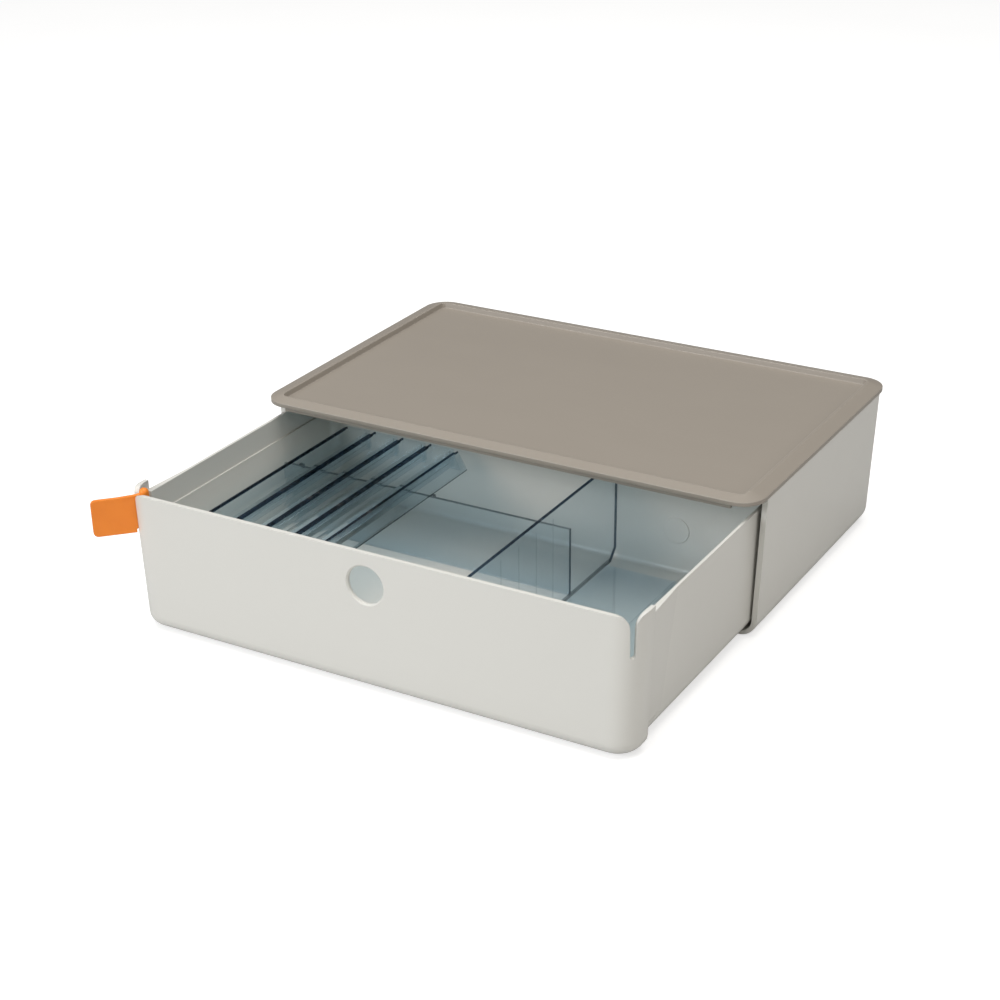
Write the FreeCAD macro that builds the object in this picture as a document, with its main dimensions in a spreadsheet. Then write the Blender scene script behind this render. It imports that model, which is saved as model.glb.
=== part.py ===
import FreeCAD, Part
import os
import Sketcher

os.makedirs("parts", exist_ok=True)

# Desktop drawer organiser, drawn partly open.
# Frame: +X to the right seen from the front, +Y to the back, +Z up.
# The origin is on the table top, under the middle of the lid.

SIZES = {
    # lid
    "lid_half": 165.0, "lid_front": -105.0, "lid_back": 105.0, "lid_corner": 15.0,
    "lid_under": 89.7, "lid_edge_top": 92.1, "lid_peak": 94.6, "lid_panel": 91.5,
    "rim_slope": 8.6, "rim_crest": 1.8, "rim_front": 7.2, "recess_slope": 1.0,
    "recess_corner": 3.5,
    "strip_half": 149.0, "strip_front": -102.6, "strip_back": -100.1, "strip_low": 86.7,
    "skirt_half": 160.5, "skirt_wall": 1.6, "skirt_front": -92.0, "skirt_back": 97.2,
    "skirt_end": 85.0,
    # case
    "case_half": 164.6, "case_low_half": 161.6, "case_front": -86.5, "case_back": 101.0,
    "case_under": 1.0, "case_wall": 3.2, "case_corner": 14.0, "case_low_edge": 11.0,
    "case_floor": 3.4, "runner_rise": 1.4, "runner_half": 2.0, "runner_x": 110.0,
    "bump_half": 10.0, "bump_x": 60.0, "bump_front": -73.3, "bump_back": -69.3,
    # drawer
    "face_front": -243.4, "face_back": -223.4, "face_half": 162.0, "face_low_half": 159.4,
    "face_top": 86.0, "face_low": 1.8, "face_wall": 2.5, "face_corner": 15.0,
    "face_low_edge": 8.0, "tub_half": 158.2, "tub_low_half": 157.0, "tub_rim": 80.3,
    "tub_under": 5.0, "tub_floor": 7.6, "tub_wall": 2.2, "tub_back": -41.0,
    "tub_corner": 8.0, "hollow_corner": 6.0, "hollow_low_edge": 3.0,
    "band_low": 65.8, "band_step": 0.5, "flare_half": 158.4, "flare_back": -188.4,
    "flare_low": 14.0, "flare_sink": 0.8, "flare_lean": 1.73, "stop_front": -54.0, "stop_back": -50.0, "stop_half": 8.0,
    "stop_drop": 1.2,
    "finger_radius": 11.2, "finger_up": 66.3, "finger_bevel": 0.9,
    "slot_half_low": 1.45, "slot_half_top": 1.9, "slot_low": 62.7, "slot_round": 7.0,
    "ledge_top": 50.8, "ledge_thick": 2.0, "ledge_out": 8.0, "ledge_half": 8.0,
    "foot_hollow_half": 148.0, "foot_hollow_front": -233.0,
    "pip_x": 90.0, "pip_up": 34.8, "pip_radius": 8.5, "pip_out": 0.3,
    # clear pen tray
    "tray_middle": -92.3, "tray_low_half": 46.2, "tray_top_half": 42.0, "tray_lean": -2.2,
    "tray_front": -235.0, "tray_back": -55.0, "tray_under": 51.0, "tray_top": 61.8,
    "tray_corner": 4.0, "tray_end": 5.6, "trough_pitch": 20.6, "trough_shift": -4.4,
    "trough_half": 8.0, "trough_low_half": 7.0, "trough_floor": 1.4, "trough_end": 1.4,
    "trough_round": 2.6, "groove_half": 1.9, "groove_top_half": 1.0, "groove_top": 60.2,
    "leg_wall": 1.4, "notch_half": 1.7, "notch_deep": 4.4,
    # clear cross divider
    "cross_left": -153.0, "cross_right": 48.6, "cross_front": -102.2, "cross_back": -100.2,
    "cross_low": 7.8, "cross_top": 50.8, "cross_bevel": 7.0, "nib_wide": 2.5, "nib_rise": 1.6,
    # clear side insert: a tall wall with a base plate
    "wall_left": 49.0, "wall_right": 51.0, "wall_front": -238.0, "wall_back": -44.6,
    "wall_low": 7.8, "wall_top": 72.8, "wall_bevel": 7.0,
    "plate_right": 147.0, "plate_front": -233.0, "plate_back": -59.0, "plate_top": 9.4,
    "plate_rib_x": 98.0, "plate_rib_half": 0.6, "plate_rib_rise": 0.5,
    "guide_first": -183.0, "guide_pitch": 20.0, "guide_wide": 0.8, "guide_out": 0.25,
    # rubber pull tag, measured outwards from the middle of the corner round
    "tag_half": 1.2, "tag_near": 15.4, "tag_far": 40.0, "tag_low": 60.5, "tag_high": 82.7,
    "tag_round": 3.0, "neck_low": 62.6, "rise_far": 25.0, "bead_middle": 9.3,
    "bead_radius": 2.8, "bead_low": 66.2, "bead_high": 87.0,
    # feet
    "foot_radius": 6.0, "foot_x": 138.0, "foot_front": -66.0, "foot_back": 78.0,
}
GUIDES = 4
TROUGHS = 4
DIAGONAL = 45.0

doc = FreeCAD.newDocument("drawer_organiser")
sheet = doc.addObject("Spreadsheet::Sheet", "sizes")
for row, (alias, amount) in enumerate(SIZES.items(), start=1):
    sheet.set(f"A{row}", alias)
    sheet.set(f"B{row}", str(amount))
    sheet.setAlias(f"B{row}", alias)
scratch = doc.addObject("Spreadsheet::Sheet", "scratch")
doc.recompute()


def linked(expression):
    """An expression of sheet names, with the sheet's own name put before each."""
    words = expression.split()
    return " ".join(f"sizes.{word}" if word in SIZES else word for word in words)


def bind(thing, path, expression):
    thing.setExpression(path, linked(expression))


def amount_of(expression):
    """The number an expression gives now; it only starts a sketch off in the right shape."""
    scratch.set("A1", "=" + linked(expression))
    scratch.recompute()
    return float(scratch.A1)


def move(thing, x, y, z):
    for axis, expression in zip("xyz", (x, y, z)):
        bind(thing, f"Placement.Base.{axis}", expression)


def box(name, x_low, x_high, y_low, y_high, z_low, z_high):
    solid = doc.addObject("Part::Box", name)
    move(solid, x_low, y_low, z_low)
    bind(solid, "Length", f"( {x_high} ) - ( {x_low} )")
    bind(solid, "Width", f"( {y_high} ) - ( {y_low} )")
    bind(solid, "Height", f"( {z_high} ) - ( {z_low} )")
    return solid


def rod(name, radius, height, x, y, z, direction=(0, 0, 1)):
    """A cylinder from the middle of its first end, along a direction."""
    solid = doc.addObject("Part::Cylinder", name)
    turn = FreeCAD.Rotation(FreeCAD.Vector(0, 0, 1), FreeCAD.Vector(*direction))
    solid.Placement = FreeCAD.Placement(FreeCAD.Vector(0, 0, 0), turn)
    bind(solid, "Radius", radius)
    bind(solid, "Height", height)
    move(solid, x, y, z)
    return solid


def join(name, solids):
    result = doc.addObject("Part::MultiFuse", name)
    result.Shapes = solids
    result.Refine = True
    return result


def cut(name, base, tool):
    result = doc.addObject("Part::Cut", name)
    result.Base = base
    result.Tool = tool
    result.Refine = True
    return result


def plane_of(body, role):
    return next(f for f in body.Origin.OriginFeatures if f.Role == role)


def outline(body, name, role, level, corners):
    """A closed sketch of straight sides; every corner is held by two sheet expressions."""
    sketch = body.newObject("Sketcher::SketchObject", name)
    sketch.AttachmentSupport = [(plane_of(body, role), "")]
    sketch.MapMode = "FlatFace"
    bind(sketch, "AttachmentOffset.Base.z", level)
    spots = [FreeCAD.Vector(amount_of(u), amount_of(v), 0) for u, v in corners]
    count = len(spots)
    for i, spot in enumerate(spots):
        sketch.addGeometry(Part.LineSegment(spot, spots[(i + 1) % count]), False)
    for i in range(count):
        sketch.addConstraint(Sketcher.Constraint("Coincident", i, 2, (i + 1) % count, 1))
    for i, (u, v) in enumerate(corners):
        across = Sketcher.Constraint("DistanceX", -1, 1, i, 1, spots[i].x)
        sketch.renameConstraint(sketch.addConstraint(across), f"across{i}")
        bind(sketch, f"Constraints.across{i}", u)
        along = Sketcher.Constraint("DistanceY", -1, 1, i, 1, spots[i].y)
        sketch.renameConstraint(sketch.addConstraint(along), f"along{i}")
        bind(sketch, f"Constraints.along{i}", v)
    return sketch


def prism(name, role, level, depth, corners):
    """An outline padded along its plane's own direction."""
    body = doc.addObject("PartDesign::Body", name)
    sketch = outline(body, name + "_outline", role, level, corners)
    pad = body.newObject("PartDesign::Pad", name + "_pad")
    pad.Profile = sketch
    bind(pad, "Length", depth)
    doc.recompute()
    return body


def edges_where(feature, test):
    names = []
    for i, edge in enumerate(feature.Shape.Edges, start=1):
        if test([v.Point for v in edge.Vertexes], edge):
            names.append(f"Edge{i}")
    return names


def dress(body, kind, name, test, **sizes):
    """Adds a fillet or a chamfer on the edges that pass a test."""
    base = body.Tip
    feature = body.newObject(f"PartDesign::{kind}", name)
    feature.Base = (base, edges_where(base, test))
    if "Size2" in sizes:
        feature.ChamferType = "Two distances"
    for path, expression in sizes.items():
        bind(feature, path, expression)
    body.Tip = feature
    doc.recompute()
    return feature


def block(name, low_half, top_half, low, high, front, back, middle="0", lean="0",
          front_corner=None, back_corner=None, low_edge=None):
    """A box whose sides may lean, with rounded uprights and a rounded lower edge."""
    corners = [
        (f"{middle} - ( {low_half} )", low), (f"{middle} + {low_half}", low),
        (f"{middle} + {lean} + {top_half}", high), (f"{middle} + {lean} - ( {top_half} )", high),
    ]
    body = prism(name, "XZ_Plane", f"- ( {back} )", f"( {back} ) - ( {front} )", corners)
    bottom = amount_of(low)
    halfway = (amount_of(front) + amount_of(back)) / 2

    def upright(points):
        return len(points) == 2 and abs(points[0].z - points[1].z) > 1

    if front_corner:
        dress(body, "Fillet", name + "_front_rounds",
              lambda p, e: upright(p) and p[0].y < halfway, Radius=front_corner)
    if back_corner:
        dress(body, "Fillet", name + "_back_rounds",
              lambda p, e: upright(p) and p[0].y > halfway and p[1].y > halfway,
              Radius=back_corner)
    if low_edge:
        dress(body, "Fillet", name + "_low_rounds",
              lambda p, e: all(abs(q.z - bottom) < 0.01 for q in p), Radius=low_edge)
    return body


def finish(result, node):
    result.Label = node
    nodes.append(result)


nodes = []

# ---------------------------------------------------------------- lid
slab = block("lid_slab", "lid_half", "lid_half", "lid_under", "lid_peak", "lid_front",
             "lid_back", front_corner="lid_corner", back_corner="lid_corner")
peak = SIZES["lid_peak"]
dress(slab, "Chamfer", "lid_slope",
      lambda p, e: all(abs(q.z - peak) < 0.01 for q in p),
      Size="lid_peak - lid_edge_top", Size2="rim_slope")
RECESS_HALF = "lid_half - rim_slope - rim_crest"
recess = block("lid_recess", RECESS_HALF, RECESS_HALF, "lid_panel", "lid_peak + rim_crest",
               "lid_front + rim_front", "lid_back - rim_slope - rim_crest",
               front_corner="recess_corner", back_corner="recess_corner")
panel = SIZES["lid_panel"]
dress(recess, "Chamfer", "recess_slope_cut",
      lambda p, e: all(abs(q.z - panel) < 0.01 for q in p),
      Size="recess_slope", Size2="lid_peak - lid_panel")
lid_parts = [
    cut("lid_plate", slab, recess),
    box("lid_front_strip", "- strip_half", "strip_half", "strip_front", "strip_back",
        "strip_low", "lid_under"),
    box("lid_back_skirt", "- strip_half", "strip_half", "skirt_back - skirt_wall",
        "skirt_back", "strip_low", "lid_under"),
    box("lid_left_skirt", "- skirt_half", "skirt_wall - skirt_half", "skirt_front",
        "skirt_end", "strip_low", "lid_under"),
    box("lid_right_skirt", "skirt_half - skirt_wall", "skirt_half", "skirt_front",
        "skirt_end", "strip_low", "lid_under"),
]
finish(join("lid_whole", lid_parts), "lid")

# ---------------------------------------------------------------- case
case_block = block("case_block", "case_low_half", "case_half", "case_under", "lid_under",
                   "case_front - 2 * case_corner", "case_back", front_corner="case_corner",
                   back_corner="case_corner", low_edge="case_low_edge")
case_hollow = block("case_hollow", "case_low_half - case_wall", "case_half - case_wall",
                    "case_floor", "lid_under + case_wall", "case_front - 3 * case_corner",
                    "case_back - case_wall", front_corner="case_corner - case_wall",
                    back_corner="case_corner - case_wall", low_edge="case_low_edge - case_wall")
case_mouth = box("case_mouth", "- 2 * case_half", "2 * case_half", "case_front - 100",
                 "case_front", "- case_wall", "lid_peak")
case_shell = cut("case_open_front", cut("case_walls", case_block, case_hollow), case_mouth)
case_parts = [case_shell]
for side, sign in (("left", "-"), ("right", "")):
    case_parts.append(box(f"runner_{side}", f"{sign} runner_x - runner_half",
                          f"{sign} runner_x + runner_half", "case_front + case_wall",
                          "case_back - case_low_edge", "case_floor - 0.5 * case_wall",
                          "case_floor + runner_rise"))
    case_parts.append(box(f"bump_{side}", f"{sign} bump_x - bump_half",
                          f"{sign} bump_x + bump_half", "bump_front", "bump_back",
                          "case_floor - 0.5 * case_wall", "case_floor + runner_rise"))
finish(join("case_whole", case_parts), "case_shell")

# ---------------------------------------------------------------- feet
feet = []
for side, sign in (("left", "-"), ("right", "")):
    for end in ("front", "back"):
        feet.append(rod(f"foot_{side}_{end}", "foot_radius", "case_under",
                        f"{sign} foot_x", f"foot_{end}", "0"))
feet_compound = doc.addObject("Part::Compound", "feet_compound")
feet_compound.Links = feet
finish(feet_compound, "feet")

# ---------------------------------------------------------------- drawer
face_block = block("face_block", "face_low_half", "face_half", "face_low", "face_top",
                   "face_front", "face_back + 2 * face_corner", front_corner="face_corner",
                   back_corner="face_corner", low_edge="face_low_edge")
face_trim = box("face_trim", "- 2 * face_half", "2 * face_half", "face_back",
                "face_back + 100", "- face_wall", "lid_peak")
tub_block = block("tub_block", "tub_low_half", "tub_half", "tub_under", "tub_rim",
                  "face_front + 2 * face_wall", "tub_back", front_corner="tub_corner",
                  back_corner="tub_corner", low_edge="tub_corner - 0.5")
flare_corners = [
    ("- flare_half", "face_back - face_wall"), ("flare_half", "face_back - face_wall"),
    ("flare_half", "face_back"), ("tub_low_half - flare_sink", "flare_back"),
    ("flare_sink - tub_low_half", "flare_back"), ("- flare_half", "face_back"),
]
flare = prism("tub_flare", "XY_Plane", "flare_low", "tub_rim - flare_low", flare_corners)
bind(flare.Tip, "TaperAngle", "flare_lean")
front_hollow = block("front_hollow", "face_low_half - face_wall", "face_half - face_wall",
                     "tub_floor", "lid_peak", "face_front + face_wall",
                     "face_back - tub_wall", front_corner="face_corner - face_wall",
                     back_corner="0.5 * tub_wall", low_edge="0.4 * tub_wall")
tub_hollow = block("tub_hollow", "tub_low_half - tub_wall", "tub_half - tub_wall",
                   "tub_floor", "lid_peak", "face_front + 2 * face_wall",
                   "tub_back - tub_wall", front_corner="hollow_corner",
                   back_corner="hollow_corner", low_edge="hollow_low_edge")
band_hollow = block("band_hollow", "tub_half - tub_wall + band_step",
                    "tub_half - tub_wall + band_step", "band_low", "lid_peak",
                    "face_back - 2 * face_wall", "tub_back - tub_wall + band_step",
                    back_corner="hollow_corner")
under_hollow = box("under_hollow", "- foot_hollow_half", "foot_hollow_half",
                   "foot_hollow_front", "face_back + face_wall", "- face_wall", "tub_under")
return_gap = box("return_gap", "face_wall - face_half", "face_half - face_wall",
                 "face_back - 2 * tub_wall", "face_back + face_wall", "tub_rim", "lid_peak")
finger_hole = rod("finger_hole", "finger_radius", "2 * face_wall", "0",
                  "face_front - 0.5 * face_wall", "finger_up", (0, 1, 0))
finger_cone = doc.addObject("Part::Cone", "finger_cone")
finger_cone.Placement.Rotation = FreeCAD.Rotation(FreeCAD.Vector(1, 0, 0), -90)
bind(finger_cone, "Radius1", "finger_radius + finger_bevel")
bind(finger_cone, "Radius2", "finger_radius")
bind(finger_cone, "Height", "finger_bevel")
move(finger_cone, "0", "face_front", "finger_up")


def slot_tool(side, sign, angle):
    """The diagonal corner slot with a rounded mouth, built along +Y and then turned."""
    straight = prism(f"slot_{side}", "XZ_Plane", "0", "2 * face_corner", [
        ("- slot_half_low", "slot_low"), ("slot_half_low", "slot_low"),
        ("slot_half_top", "face_top + face_wall"), ("- slot_half_top", "face_top + face_wall"),
    ])
    bottom = rod(f"slot_bottom_{side}", "slot_half_low", "2 * face_corner", "0",
                 "- 2 * face_corner", "slot_low", (0, 1, 0))
    half = "slot_half_top + slot_round"
    low = "face_top - slot_round"
    mouth = box(f"mouth_{side}", f"- ( {half} )", half, "- 2 * face_corner", "0", low,
                "face_top + face_wall")
    for end, end_sign in (("a", "-"), ("b", "")):
        lip = rod(f"lip_{side}_{end}", "slot_round", "3 * face_corner", f"{end_sign} ( {half} )",
                  "- 2.5 * face_corner", low, (0, 1, 0))
        mouth = cut(f"mouth_cut_{side}_{end}", mouth, lip)
    tool = join(f"slot_tool_{side}", [straight, bottom, mouth])
    tool.Placement.Rotation = FreeCAD.Rotation(FreeCAD.Vector(0, 0, 1), angle)
    move(tool, f"{sign} ( face_half - face_corner )", "face_front + face_corner", "0")
    return tool


drawer_solids = [cut("face_solid", face_block, face_trim), tub_block, flare]
tools = [front_hollow, tub_hollow, band_hollow, under_hollow, return_gap, finger_hole, finger_cone]
tools.append(slot_tool("left", "-", -DIAGONAL))
tools.append(slot_tool("right", "", DIAGONAL))
hollowed = cut("drawer_hollowed", join("drawer_solid", drawer_solids), join("drawer_tools", tools))
additions = [hollowed]
for side, sign in (("left", "-"), ("right", "")):
    additions.append(box(f"stop_{side}", f"{sign} bump_x - stop_half",
                         f"{sign} bump_x + stop_half", "stop_front", "stop_back",
                         "tub_under - stop_drop", "tub_under + 0.5 * stop_drop"))
for i, shift in enumerate(("- 1.3 * trough_pitch", "+ 1.3 * trough_pitch")):
    additions.append(box(f"ledge_{i}", f"tray_middle {shift} - ledge_half",
                         f"tray_middle {shift} + ledge_half", "face_front + 0.5 * face_wall",
                         "face_front + ledge_out", "ledge_top - ledge_thick", "ledge_top"))
additions.append(rod("pip", "pip_radius", "tub_wall", "pip_x",
                     "tub_back - tub_wall - pip_out", "pip_up", (0, 1, 0)))
finish(join("drawer_whole", additions), "drawer_tub")

# ---------------------------------------------------------------- pen tray
tray_block = block("tray_block", "tray_low_half", "tray_top_half", "tray_under", "tray_top",
                   "tray_front", "tray_back", middle="tray_middle", lean="tray_lean",
                   front_corner="tray_corner", back_corner="tray_corner")
tray_tools = []
for i in range(TROUGHS):
    middle = f"tray_middle + trough_shift + {i - (TROUGHS - 1) / 2} * trough_pitch"
    tray_tools.append(block(f"trough_{i}", "trough_low_half", "trough_half",
                            "tray_under + trough_floor", "tray_top + trough_floor",
                            "tray_front + trough_end", "tray_back - trough_end", middle=middle,
                            front_corner="trough_round", back_corner="trough_round",
                            low_edge="trough_round - 0.5"))
for i in range(TROUGHS):
    middle = f"tray_middle + trough_shift + {i - (TROUGHS - 2) / 2} * trough_pitch"
    tray_tools.append(block(f"groove_{i}", "groove_half", "groove_top_half",
                            "tray_under - trough_floor", "groove_top",
                            "tray_front + tray_end", "tray_back - tray_end", middle=middle))
    tray_tools.append(box(f"notch_{i}", f"{middle} - notch_half", f"{middle} + notch_half",
                          "tray_back - notch_deep", "tray_back + notch_deep",
                          "tray_under - trough_floor", "tray_top + trough_floor"))
leg_low = "tray_middle + tray_low_half - 1.5 * leg_wall"
leg_top = "tray_middle + tray_lean + tray_top_half - leg_wall"
tray_tools.append(prism("leg_groove", "XZ_Plane", "tray_end - tray_back",
                        "tray_back - tray_front - 2 * tray_end", [
                            (f"{leg_top} - leg_wall", "tray_under - trough_floor"),
                            (leg_low, "tray_under - trough_floor"),
                            (leg_top, "groove_top"), (f"{leg_top} - leg_wall", "groove_top"),
                        ]))
finish(cut("tray_whole", tray_block, join("tray_tools", tray_tools)), "pen_tray")

# ---------------------------------------------------------------- cross divider
cross_plate = prism("cross_plate", "XZ_Plane", "- ( cross_back )", "cross_back - cross_front", [
    ("cross_left + cross_bevel", "cross_low"), ("cross_right", "cross_low"),
    ("cross_right", "cross_top"), ("cross_left", "cross_top"),
    ("cross_left", "cross_low + cross_bevel"),
])
cross_parts = [cross_plate]
for side, start in (
    ("left", "tray_middle - tray_low_half - 1.2 * nib_wide"),
    ("right", "tray_middle + tray_low_half + 0.2 * nib_wide"),
):
    cross_parts.append(box(f"nib_{side}", start, f"{start} + nib_wide", "cross_front",
                           "cross_back", "cross_top - nib_rise", "cross_top + nib_rise"))
finish(join("cross_whole", cross_parts), "cross_divider")

# ---------------------------------------------------------------- long divider
tall_wall = prism("tall_wall", "YZ_Plane", "wall_left", "wall_right - wall_left", [
    ("wall_front", "wall_low"), ("wall_back - wall_bevel", "wall_low"),
    ("wall_back", "wall_low + wall_bevel"), ("wall_back", "wall_top"),
    ("wall_front", "wall_top"),
])
insert_parts = [
    tall_wall,
    box("base_plate", "wall_right - 0.5 * plate_rib_rise", "plate_right", "plate_front",
        "plate_back", "wall_low", "plate_top"),
    box("plate_rib", "plate_rib_x - plate_rib_half", "plate_rib_x + plate_rib_half",
        "plate_front", "plate_back", "wall_low", "plate_top + plate_rib_rise"),
]
for i in range(GUIDES):
    start = f"guide_first + {i} * guide_pitch"
    insert_parts.append(box(f"guide_{i}", "wall_left - guide_out", "wall_left + guide_out",
                            start, f"{start} + guide_wide", "wall_low + wall_bevel",
                            "wall_top - wall_bevel"))
finish(join("insert_whole", insert_parts), "long_divider")

# ---------------------------------------------------------------- pull tag
tag_flag = box("tag_flag", "- tag_half", "tag_half", "- tag_far", "- tag_near",
               "tag_low + tag_round", "tag_high - tag_round")
tag_flag_tall = box("tag_flag_tall", "- tag_half", "tag_half", "tag_round - tag_far",
                    "- tag_near", "tag_low", "tag_high")
tag_parts = [tag_flag, tag_flag_tall]
for end, level in (("low", "tag_low + tag_round"), ("high", "tag_high - tag_round")):
    tag_parts.append(rod(f"tag_round_{end}", "tag_round", "2 * tag_half", "- tag_half",
                         "tag_round - tag_far", level, (1, 0, 0)))
tag_parts.append(prism("tag_neck", "YZ_Plane", "- tag_half", "2 * tag_half", [
    ("- rise_far", "tag_high - tag_round"), ("- tag_near", "neck_low"),
    ("- bead_middle", "neck_low + bead_radius"), ("- bead_middle", "bead_high - bead_radius"),
    ("- tag_near", "bead_high - bead_radius - 1"), ("- rise_far", "tag_high"),
]))
tag_parts.append(rod("tag_bead", "bead_radius", "bead_high - bead_low - bead_radius", "0",
                     "- bead_middle", "bead_low"))
bead_cap = doc.addObject("Part::Sphere", "bead_cap")
bind(bead_cap, "Radius", "bead_radius")
move(bead_cap, "0", "- bead_middle", "bead_high - bead_radius")
tag_parts.append(bead_cap)
tag = join("tag_whole", tag_parts)
tag.Placement.Rotation = FreeCAD.Rotation(FreeCAD.Vector(0, 0, 1), -DIAGONAL)
move(tag, "- ( face_half - face_corner )", "face_front + face_corner", "0")
finish(tag, "pull_tag")

# ---------------------------------------------------------------- check and write
doc.removeObject(scratch.Name)
doc.recompute()
for thing in doc.Objects:
    for state in thing.State:
        if state in ("Invalid", "Error"):
            raise RuntimeError(f"{thing.Name} is {state}")
for node in nodes:
    shape = node.Shape
    if shape.isNull() or not shape.isValid():
        raise RuntimeError(f"{node.Label} has no valid shape")
    shape.exportStep(f"parts/{node.Label}.step")
    print(node.Label, len(shape.Solids), "solids,", round(shape.Volume), "mm3")
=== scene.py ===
import math

import bpy
from mathutils import Matrix, Vector

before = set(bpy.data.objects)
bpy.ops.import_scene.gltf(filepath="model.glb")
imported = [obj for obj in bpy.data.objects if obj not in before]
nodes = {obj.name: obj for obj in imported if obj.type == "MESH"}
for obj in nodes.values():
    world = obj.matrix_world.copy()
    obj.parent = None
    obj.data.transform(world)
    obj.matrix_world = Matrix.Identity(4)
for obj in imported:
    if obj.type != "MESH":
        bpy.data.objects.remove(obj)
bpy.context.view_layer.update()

# The camera: sensor and lens in metres, the picture shifted up, the view rolled a little.
SENSOR = 0.036
LENS = 0.0712
VIEW_SHIFT = 0.141
CAMERA_AT = (0.5323, -1.0197, 0.5512)
CAMERA_LOOK = (-0.43816, 0.75722, -0.48438)
CAMERA_ROLL = math.radians(-0.74)

WHITE = (1.0, 1.0, 1.0, 1.0)

# Moulded plastic and rubber: the face's colour, then the paler colour painted on its edges as a
# painted highlight.
SHELL_COLORS = (0.74, 0.735, 0.695, 1.0), (0.88, 0.87, 0.83, 1.0)
SHELL_ROUGHNESS = 0.22
LID_COLORS = (0.328, 0.293, 0.252, 1.0), (0.66, 0.62, 0.565, 1.0)
LID_ROUGHNESS = 0.36
# Radius of the lid's softened edges, which also sets how wide its painted rim highlight is.
LID_EDGE = 0.001
TAG_COLORS = (1.0, 0.285, 0.025, 1.0), (1.0, 0.45, 0.12, 1.0)
FOOT_COLORS = (0.30, 0.30, 0.29, 1.0), (0.4, 0.4, 0.39, 1.0)

# Clear plastic: its own colour, the navy painted on its ends as painted shade, the light it
# absorbs and the light it passes.
SHEET_TINT = (0.875, 0.92, 0.945, 1.0)
SHEET_NAVY = (0.004, 0.010, 0.024, 1.0)
SHEET_ABSORB = (0.42, 0.62, 0.72, 1.0)
SHEET_DENSITY = 60.0
SHEET_BEND = 1.05
SHEET_PASSING = (0.86, 0.90, 0.92, 1.0)

# Where the clear pieces are painted navy, as painted shade for the darkness refraction gives their
# ends and crests, in frame coordinates.
RIDGE_FIRST = -0.1375
RIDGE_PITCH = 0.0206
RIDGE_WIDTH = 0.0022
RIDGE_CREST = 0.0602
LEG_TOP = 0.0516
LEG_LEFT = -0.0470
CROSS_END = 0.0484
CROSS_CREST = 0.0506
WALL_CREST = 0.0726
WALL_REAR = -0.0448
WALL_RIGHT = 0.0512
WALL_FOOT = 0.0096
WALL_CHAMFER = -0.0598

# Light: the floor's and the world's glow, then each lamp's place, size, power and colour.
FLOOR_HALF = 12.0
FLOOR_TONES = (0.60, 0.60, 0.60, 1.0), (0.63, 0.63, 0.63, 1.0)
FLOOR_GLOW = 0.63
WORLD_LIGHT = 0.12
WORLD_SEEN = 0.9
LAMPS = {
    "top_box": ((0.1, -0.3, 2.5), (0.0, -0.1, 0.05), 2.4, 2.4, 62.0, (1.0, 0.985, 0.96)),
    "key_box": ((-0.95, -1.85, 1.0), (0.0, -0.15, 0.05), 1.2, 0.7, 21.0, (0.97, 0.985, 1.0)),
    "right_box": ((1.9, -0.9, 0.9), (0.0, -0.15, 0.05), 1.2, 0.8, 7.0, (1.0, 0.93, 0.84)),
}


# ------------------------------------------------------------------ shader helpers
class Shader:
    """A material under construction: nodes are made by type and joined by name."""

    def __init__(self, name):
        self.material = bpy.data.materials.new(name)
        self.material.use_nodes = True
        self.tree = self.material.node_tree
        self.tree.nodes.clear()
        self.out = self.node("OutputMaterial")
        self.coords = self.node("TexCoord").outputs["Object"]
        self.axes = self.node("SeparateXYZ", {"Vector": self.coords}).outputs

    def node(self, kind, inputs=None, **settings):
        made = self.tree.nodes.new("ShaderNode" + kind)
        for key, setting in settings.items():
            setattr(made, key, setting)
        for key, given in (inputs or {}).items():
            self.feed(made.inputs[key], given)
        return made

    def feed(self, socket, given):
        if isinstance(given, bpy.types.NodeSocket):
            self.tree.links.new(given, socket)
        else:
            socket.default_value = given

    def noise(self, scale, detail=3.0, roughness=0.5, stretch=None):
        place = self.coords
        if stretch:
            place = self.node("Mapping", {"Vector": place, "Scale": stretch}).outputs[0]
        settings = {"Vector": place, "Scale": scale, "Detail": detail, "Roughness": roughness}
        return self.node("TexNoise", settings).outputs["Fac"]

    def spread(self, value, low, high, to_low, to_high):
        settings = {"Value": value, "From Min": low, "From Max": high,
                    "To Min": to_low, "To Max": to_high}
        return self.node("MapRange", settings).outputs["Result"]

    def mix(self, factor, first, second, blend="MIX"):
        made = self.node("Mix", data_type="RGBA", blend_type=blend)
        for key, given in ((0, factor), (6, first), (7, second)):
            self.feed(made.inputs[key], given)
        return made.outputs[2]

    def math(self, operation, first, second):
        return self.node("Math", {0: first, 1: second}, operation=operation).outputs[0]

    def above(self, axis, level):
        """1 where an object coordinate is above a level, 0 elsewhere."""
        return self.math("GREATER_THAN", self.axes[axis], level)

    def below(self, axis, level):
        return self.math("LESS_THAN", self.axes[axis], level)

    def bump(self, height, distance, strength=1.0, normal=None):
        settings = {"Height": height, "Distance": distance, "Strength": strength}
        if normal:
            settings["Normal"] = normal
        return self.node("Bump", settings).outputs["Normal"]

    def edges(self, radius, samples=4):
        """A softened normal, and how strongly each point is on an edge."""
        soft = self.node("Bevel", {"Radius": radius}, samples=samples).outputs["Normal"]
        flat = self.node("NewGeometry").outputs["Normal"]
        dot = self.node("VectorMath", {0: soft, 1: flat}, operation="DOT_PRODUCT").outputs["Value"]
        return soft, self.spread(dot, 0.995, 0.75, 0.0, 1.0)


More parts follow.
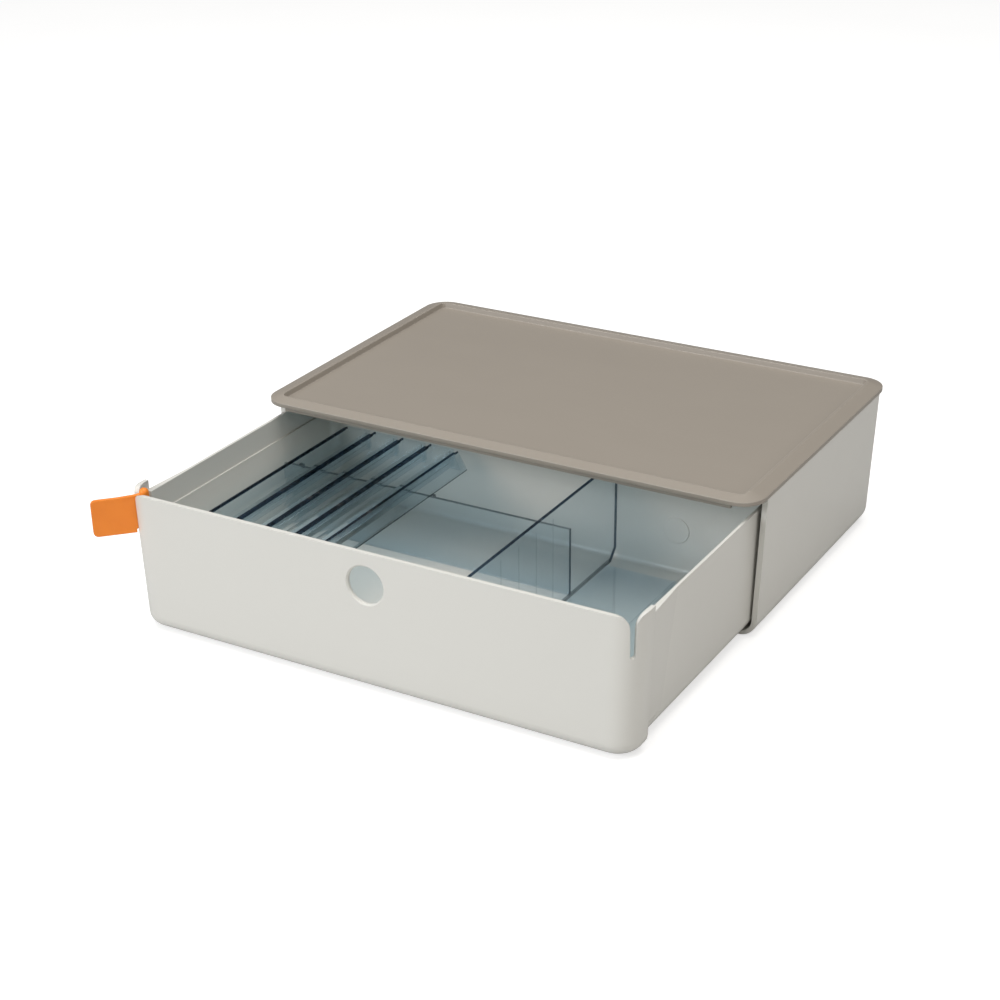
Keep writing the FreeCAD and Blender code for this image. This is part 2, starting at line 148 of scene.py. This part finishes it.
def moulded_plastic(name, color, paler_color, roughness, radius=0.0006, grain=0.000004):
    """Fine-grained moulded plastic, slightly mottled, with smoother edges and a painted highlight
    that makes them paler.
    """
    shader = Shader(name)
    soft, edge = shader.edges(radius)
    cloud = shader.noise(12.0, 3.0)
    flow = shader.noise(40.0, 2.0, stretch=(0.25, 1.0, 1.0))
    speck = shader.noise(2600.0, 2.0, 0.6)
    dark = [channel * 0.985 for channel in color[:3]] + [1.0]
    tone = shader.mix(cloud, dark, color)
    tone = shader.mix(shader.math("MULTIPLY", flow, 0.03), tone, paler_color)
    # The paler colour on the edges is a painted highlight of the rounded rims.
    tone = shader.mix(shader.math("MULTIPLY", edge, 0.5), tone, paler_color)
    sheen = shader.spread(shader.noise(45.0, 2.0), 0.0, 1.0, roughness - 0.06, roughness + 0.06)
    rough = shader.math("SUBTRACT", sheen, shader.math("MULTIPLY", edge, 0.08))
    normal = shader.bump(speck, grain, 0.4, soft)
    surface = shader.node("BsdfPrincipled", {
        "Base Color": tone, "Roughness": rough, "Normal": normal, "IOR": 1.47,
        "Specular IOR Level": 0.4,
    })
    shader.feed(shader.out.inputs["Surface"], surface.outputs[0])
    return shader.material


class ClearSheet(Shader):
    """Polished clear plastic sheet that lets lamps through, painted deep navy where its ends show,
    as painted shade standing in for the darkness refraction gives there.
    """

    def __init__(self, name):
        super().__init__(name)
        self.soft, edge = self.edges(0.0003)
        # Every edge is painted faintly navy, a painted shade for the darkness refraction gives
        # edges.
        self.dark = self.math("MULTIPLY", edge, 0.15)

    def darken(self, *masks, strength=1.0):
        """Paints the sheet navy where all the masks hold: painted shade standing in for the
        darkness refraction gives its ends.
        """
        both = strength
        for mask in masks:
            both = self.math("MULTIPLY", both, mask)
        self.dark = self.math("MAXIMUM", self.dark, both)

    def ridge_lines(self, first, pitch, width):
        """A mask of evenly spaced lines along Y."""
        along = self.math("MODULO", self.math("SUBTRACT", self.axes["X"], first), pitch)
        return self.math("LESS_THAN", along, width)

    def finished(self):
        smear = self.noise(60.0, 3.0)
        scuff = self.spread(self.noise(500.0, 4.0, 0.7, (1.0, 0.08, 1.0)), 0.56, 0.72, 0.0, 0.04)
        rough = self.math("ADD", self.spread(smear, 0.3, 0.7, 0.01, 0.04), scuff)
        tone = self.mix(self.math("MULTIPLY", smear, 0.1), SHEET_TINT, WHITE)
        polished = self.node("BsdfPrincipled", {
            "Base Color": self.mix(self.dark, tone, SHEET_NAVY), "Roughness": rough,
            "Normal": self.bump(self.noise(9.0, 1.0), 0.0002, 0.2, self.soft), "IOR": SHEET_BEND,
            "Transmission Weight": 1.0, "Coat Weight": 0.8, "Coat Roughness": 0.04,
            "Coat IOR": 1.5,
        })
        path = self.node("LightPath").outputs
        from_lamp = self.math("MAXIMUM", path["Is Shadow Ray"], path["Is Diffuse Ray"])
        open_way = self.node("BsdfTransparent", {"Color": SHEET_PASSING})
        surface = self.node("MixShader", {0: from_lamp, 1: polished.outputs[0],
                                          2: open_way.outputs[0]})
        inside = self.node("VolumeAbsorption", {"Color": SHEET_ABSORB, "Density": SHEET_DENSITY})
        self.feed(self.out.inputs["Surface"], surface.outputs[0])
        self.feed(self.out.inputs["Volume"], inside.outputs[0])
        return self.material


def rubber(name, color, paler_color):
    shader = Shader(name)
    soft, edge = shader.edges(0.0005)
    cloud = shader.spread(shader.noise(60.0, 3.0), 0.3, 0.7, 0.0, 1.0)
    deep = [color[0] * 0.93, color[1] * 0.86, color[2] * 0.8, 1.0]
    tone = shader.mix(cloud, deep, color)
    # The paler colour on the edges is a painted highlight of the rounded edges.
    tone = shader.mix(shader.math("MULTIPLY", edge, 0.35), tone, paler_color)
    rough = shader.spread(shader.noise(300.0, 3.0), 0.3, 0.7, 0.42, 0.55)
    normal = shader.bump(shader.noise(1800.0, 3.0, 0.6), 0.00003, normal=soft)
    surface = shader.node("BsdfPrincipled", {
        "Base Color": tone, "Roughness": rough, "Normal": normal,
        "Sheen Weight": 0.15, "Sheen Roughness": 0.4,
    })
    shader.feed(shader.out.inputs["Surface"], surface.outputs[0])
    return shader.material


def paint(material, *names):
    for name in names:
        slots = nodes[name].data.materials
        slots.clear()
        slots.append(material)


# ------------------------------------------------------------------ materials
shell_plastic = moulded_plastic("shell_plastic", *SHELL_COLORS, SHELL_ROUGHNESS)
lid_plastic = moulded_plastic("lid_plastic", *LID_COLORS, LID_ROUGHNESS, radius=LID_EDGE)

tray_sheet = ClearSheet("tray_plastic")
# Ridge crests and the lower right leg of the tray are painted navy: painted shade where refraction
# darkens them.
ridges = tray_sheet.ridge_lines(RIDGE_FIRST, RIDGE_PITCH, RIDGE_WIDTH)
tray_sheet.darken(ridges, tray_sheet.above("Z", RIDGE_CREST))
tray_sheet.darken(tray_sheet.below("Z", LEG_TOP), tray_sheet.above("X", LEG_LEFT), strength=0.6)

cross_sheet = ClearSheet("cross_plastic")
# The cross divider's right end and crest are painted navy: painted shade where refraction darkens
# them.
cross_sheet.darken(cross_sheet.above("X", CROSS_END))
cross_sheet.darken(cross_sheet.above("Z", CROSS_CREST), strength=0.7)

wall_sheet = ClearSheet("wall_plastic")
# The wall's crest, rear end, foot and chamfer are painted navy: painted shade where refraction
# darkens them.
wall_sheet.darken(wall_sheet.above("Z", WALL_CREST))
wall_sheet.darken(wall_sheet.above("Y", WALL_REAR))
upright = wall_sheet.below("X", WALL_RIGHT)
wall_sheet.darken(upright, wall_sheet.below("Z", WALL_FOOT), strength=0.8)
slope = wall_sheet.math("SUBTRACT", wall_sheet.axes["Y"], wall_sheet.axes["Z"])
wall_sheet.darken(upright, wall_sheet.math("GREATER_THAN", slope, WALL_CHAMFER))

orange_rubber = rubber("orange_rubber", *TAG_COLORS)
foot_rubber = rubber("foot_rubber", *FOOT_COLORS)
paint(shell_plastic, "case_shell", "drawer_tub")
paint(lid_plastic, "lid")
paint(tray_sheet.finished(), "pen_tray")
paint(cross_sheet.finished(), "cross_divider")
paint(wall_sheet.finished(), "long_divider")
paint(orange_rubber, "pull_tag")
paint(foot_rubber, "feet")


# ------------------------------------------------------------------ floor, lights, camera
def floor_sheet():
    """A pale floor that the camera alone sees a little brighter than the lamps make it."""
    half = FLOOR_HALF
    mesh = bpy.data.meshes.new("floor")
    corners = [(-half, -half, 0), (half, -half, 0), (half, half, 0), (-half, half, 0)]
    mesh.from_pydata(corners, [], [(0, 1, 2, 3)])
    floor = bpy.data.objects.new("floor", mesh)
    bpy.context.scene.collection.objects.link(floor)
    shader = Shader("floor_paper")
    cloud = shader.spread(shader.noise(3.0), 0.3, 0.7, 0.0, 1.0)
    tone = shader.mix(cloud, *FLOOR_TONES)
    glow = shader.math("MULTIPLY", shader.node("LightPath").outputs["Is Camera Ray"], FLOOR_GLOW)
    surface = shader.node("BsdfPrincipled", {
        "Base Color": tone, "Roughness": 0.9, "Emission Color": WHITE,
        "Emission Strength": glow,
    })
    shader.feed(shader.out.inputs["Surface"], surface.outputs[0])
    mesh.materials.append(shader.material)


def soft_light(name, place, target, width, height, power, color):
    data = bpy.data.lights.new(name, "AREA")
    data.shape = "RECTANGLE"
    data.size = width
    data.size_y = height
    data.energy = power
    data.color = color
    lamp = bpy.data.objects.new(name, data)
    bpy.context.scene.collection.objects.link(lamp)
    lamp.location = place
    lamp.rotation_euler = (Vector(target) - Vector(place)).to_track_quat("-Z", "Y").to_euler()


def world_light(strength, seen):
    """Even light from all round, which the camera sees as a brighter backdrop."""
    world = bpy.data.worlds.new("studio")
    world.use_nodes = True
    tree = world.node_tree
    background = tree.nodes["Background"]
    background.inputs["Color"].default_value = WHITE
    level = tree.nodes.new("ShaderNodeMapRange")
    level.inputs["To Min"].default_value = strength
    level.inputs["To Max"].default_value = seen
    path = tree.nodes.new("ShaderNodeLightPath")
    tree.links.new(path.outputs["Is Camera Ray"], level.inputs["Value"])
    tree.links.new(level.outputs["Result"], background.inputs["Strength"])
    bpy.context.scene.world = world


def place_camera():
    data = bpy.data.cameras.new("camera")
    data.sensor_width = SENSOR * 1000
    data.lens = LENS * 1000
    data.shift_y = VIEW_SHIFT
    data.clip_start = 0.05
    data.clip_end = 100.0
    camera = bpy.data.objects.new("camera", data)
    bpy.context.scene.collection.objects.link(camera)
    aim = Vector(CAMERA_LOOK).to_track_quat("-Z", "Y").to_matrix().to_4x4()
    roll = Matrix.Rotation(CAMERA_ROLL, 4, "Z")
    camera.matrix_world = Matrix.Translation(CAMERA_AT) @ aim @ roll
    bpy.context.scene.camera = camera


floor_sheet()
world_light(WORLD_LIGHT, WORLD_SEEN)
for lamp_name, lamp_settings in LAMPS.items():
    soft_light(lamp_name, *lamp_settings)
place_camera()
bpy.context.scene.view_settings.view_transform = "Standard"
